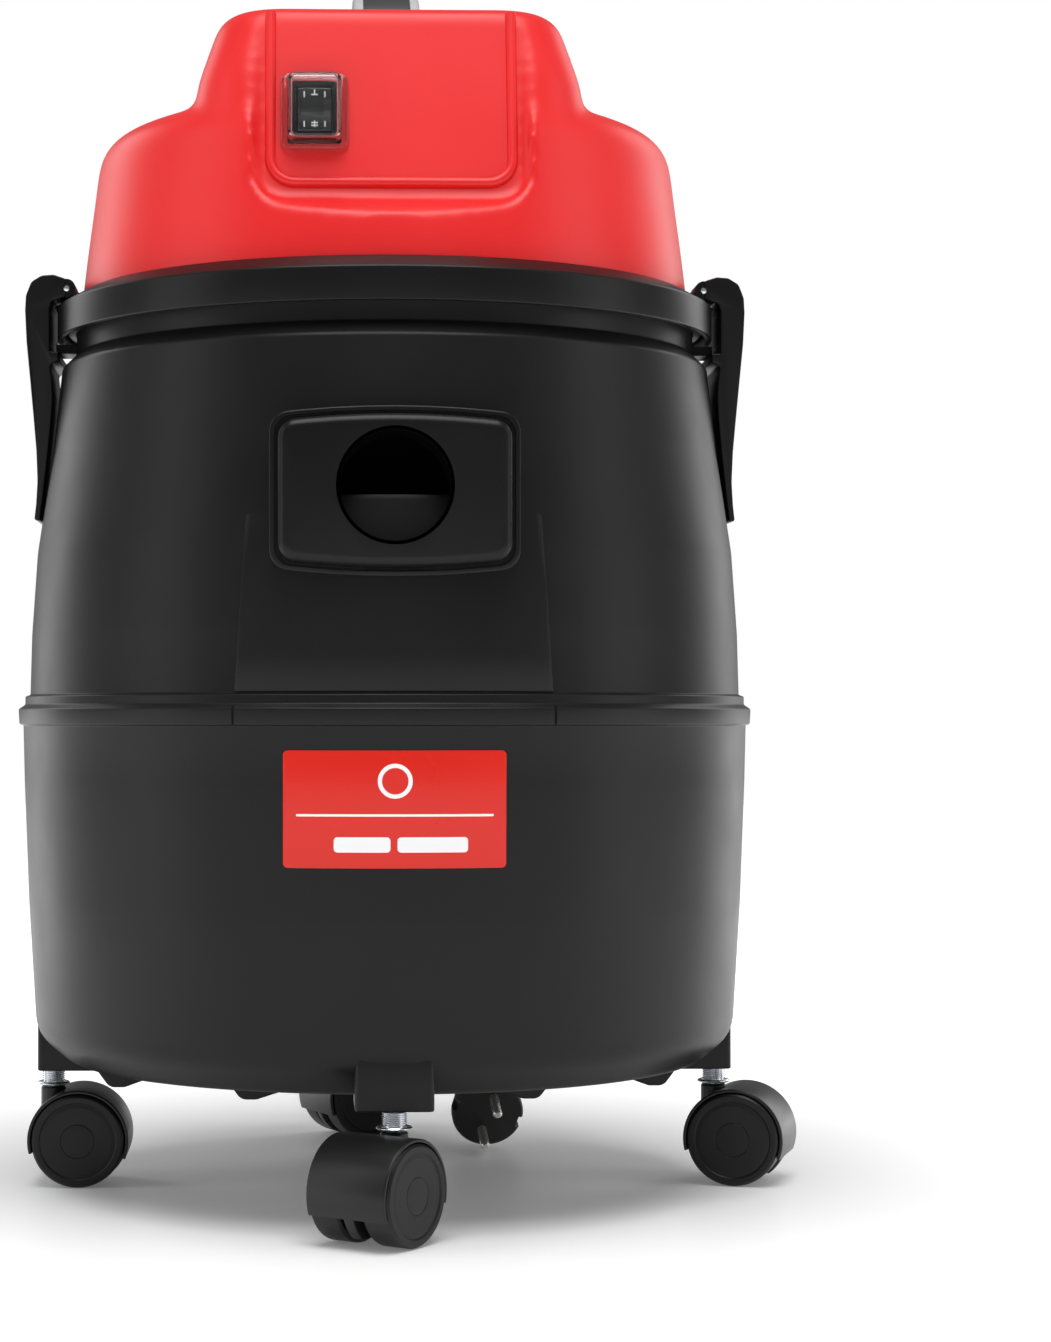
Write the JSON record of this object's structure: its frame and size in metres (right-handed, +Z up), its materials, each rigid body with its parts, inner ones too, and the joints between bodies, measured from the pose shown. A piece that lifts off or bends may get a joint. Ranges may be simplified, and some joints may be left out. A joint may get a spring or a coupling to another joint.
{
  "type": "wet and dry shop vacuum",
  "caption": "Round drum shop vacuum: black moulded tank on twin-wheel casters, red motor head held by side latches, front hose inlet, rocker switch and mains lead.",
  "frame": {"origin": "on the floor, on the tank's vertical axis", "axes": "+Z up; the hose inlet and the switch face -Y; +X is to the right of someone who faces the inlet"},
  "size_m": [0.3755, 0.6547, 0.5708],
  "materials": {
    "tank_black": "fine moulded grain, satin",
    "trim_black": "satin moulded plastic",
    "seal_rubber": "matt rubber",
    "cover_red": "satin moulded plastic",
    "zinc": "bright zinc plate",
    "handle_grey": "speckled satin",
    "switch_black": "satin gloss",
    "clear_boot": "clear flexible plastic",
    "motor_steel": "rolled steel",
    "fan_aluminium": "pressed sheet",
    "carbon": "carbon",
    "foam": "open foam",
    "filter_cloth": "filter cloth",
    "float_plastic": "moulded plastic",
    "label_red": "printed film",
    "cord_black": "rubber sheath",
    "pin_nickel": "nickel plate",
    "caster_black": "satin nylon",
    "wheel_black": "moulded nylon"
  },
  "bodies": {
    "vacuum": {"tank_floor": "tank_black", "tank": "tank_black", "tank_top": "tank_black", "tank_front": "tank_black", "inlet_collar": "tank_black", "inlet_deflector": "tank_black", "head_base": "trim_black", "head_gasket": "seal_rubber", "head_cover": "cover_red", "cover_screws": "zinc", "carry_handle": "handle_grey", "handle_insert": "trim_black", "switch_body": "switch_black", "switch_boot": "clear_boot", "latch_pins": "zinc", "motor_stator": "motor_steel", "motor_bracket": "motor_steel", "motor_bearings": "motor_steel", "carbon_brushes": "carbon", "fan_housing": "fan_aluminium", "motor_seal": "seal_rubber", "exhaust_foam": "foam", "filter_cage": "trim_black", "filter_sleeve": "filter_cloth", "front_label": "label_red", "cord_grip": "cord_black", "cord_lead": "cord_black", "cord_coil": "cord_black", "cord_tail": "cord_black", "plug_body": "cord_black", "plug_pins": "pin_nickel", "caster_right_stem": "zinc", "caster_rear_stem": "zinc", "caster_left_stem": "zinc", "caster_front_stem": "zinc"},
    "switch_rocker": {"switch_rocker": "switch_black"},
    "latch_left": {"latch_left": "trim_black"},
    "latch_right": {"latch_right": "trim_black"},
    "armature": {"motor_armature": "motor_steel", "motor_fan": "fan_aluminium"},
    "float_ball": {"float_ball": "float_plastic"},
    "caster_right": {"caster_right_housing": "caster_black", "caster_right_axle": "zinc"},
    "caster_right_wheel_a": {"caster_right_wheel_a": "wheel_black"},
    "caster_right_wheel_b": {"caster_right_wheel_b": "wheel_black"},
    "caster_rear": {"caster_rear_housing": "caster_black", "caster_rear_axle": "zinc"},
    "caster_rear_wheel_a": {"caster_rear_wheel_a": "wheel_black"},
    "caster_rear_wheel_b": {"caster_rear_wheel_b": "wheel_black"},
    "caster_left": {"caster_left_housing": "caster_black", "caster_left_axle": "zinc"},
    "caster_left_wheel_a": {"caster_left_wheel_a": "wheel_black"},
    "caster_left_wheel_b": {"caster_left_wheel_b": "wheel_black"},
    "caster_front": {"caster_front_housing": "caster_black", "caster_front_axle": "zinc"},
    "caster_front_wheel_a": {"caster_front_wheel_a": "wheel_black"},
    "caster_front_wheel_b": {"caster_front_wheel_b": "wheel_black"}
  },
  "joints": [
    {"name": "switch_rock", "type": "hinge", "parent": "vacuum", "child": "switch_rocker", "pos_m": [-0.034, -0.11158, 0.48959], "axis": [1, 0, 0], "range_deg": [-10, 10]},
    {"name": "latch_left_hinge", "type": "hinge", "parent": "vacuum", "child": "latch_left", "pos_m": [-0.151, 0, 0.4255], "axis": [0, 1, 0], "range_deg": [0, 95]},
    {"name": "latch_right_hinge", "type": "hinge", "parent": "vacuum", "child": "latch_right", "pos_m": [0.151, 0, 0.4255], "axis": [0, -1, 0], "range_deg": [0, 95]},
    {"name": "motor_spin", "type": "hinge", "parent": "vacuum", "child": "armature", "pos_m": [0, 0, 0.45], "axis": [0, 0, 1], "continuous": true},
    {"name": "float_rise", "type": "slide", "parent": "vacuum", "child": "float_ball", "axis": [0, 0, 1], "range_m": [0, 0.05]},
    {"name": "caster_right_swivel", "type": "hinge", "parent": "vacuum", "child": "caster_right", "pos_m": [0.159, 0, 0.04], "axis": [0, 0, 1], "continuous": true},
    {"name": "caster_right_wheel_a_spin", "type": "hinge", "parent": "caster_right", "child": "caster_right_wheel_a", "pos_m": [0.17129, -0.00423, 0.022], "axis": [0.3256, 0.9455, 0], "continuous": true},
    {"name": "caster_right_wheel_b_spin", "type": "hinge", "parent": "caster_right", "child": "caster_right_wheel_b", "pos_m": [0.17129, -0.00423, 0.022], "axis": [0.3256, 0.9455, 0], "continuous": true},
    {"name": "caster_rear_swivel", "type": "hinge", "parent": "vacuum", "child": "caster_rear", "pos_m": [0, 0.159, 0.04], "axis": [0, 0, 1], "continuous": true},
    {"name": "caster_rear_wheel_a_spin", "type": "hinge", "parent": "caster_rear", "child": "caster_rear_wheel_a", "pos_m": [-0.01178, 0.15351, 0.022], "axis": [0.4226, -0.9063, 0], "continuous": true},
    {"name": "caster_rear_wheel_b_spin", "type": "hinge", "parent": "caster_rear", "child": "caster_rear_wheel_b", "pos_m": [-0.01178, 0.15351, 0.022], "axis": [0.4226, -0.9063, 0], "continuous": true},
    {"name": "caster_left_swivel", "type": "hinge", "parent": "vacuum", "child": "caster_left", "pos_m": [-0.159, 0, 0.04], "axis": [0, 0, 1], "continuous": true},
    {"name": "caster_left_wheel_a_spin", "type": "hinge", "parent": "caster_left", "child": "caster_left_wheel_a", "pos_m": [-0.146, 0, 0.022], "axis": [0, 1, 0], "continuous": true},
    {"name": "caster_left_wheel_b_spin", "type": "hinge", "parent": "caster_left", "child": "caster_left_wheel_b", "pos_m": [-0.146, 0, 0.022], "axis": [0, 1, 0], "continuous": true},
    {"name": "caster_front_swivel", "type": "hinge", "parent": "vacuum", "child": "caster_front", "pos_m": [0, -0.159, 0.04], "axis": [0, 0, 1], "continuous": true},
    {"name": "caster_front_wheel_a_spin", "type": "hinge", "parent": "caster_front", "child": "caster_front_wheel_a", "pos_m": [-0.00764, -0.16952, 0.022], "axis": [0.809, -0.5878, 0], "continuous": true},
    {"name": "caster_front_wheel_b_spin", "type": "hinge", "parent": "caster_front", "child": "caster_front_wheel_b", "pos_m": [-0.00764, -0.16952, 0.022], "axis": [0.809, -0.5878, 0], "continuous": true}
  ]
}
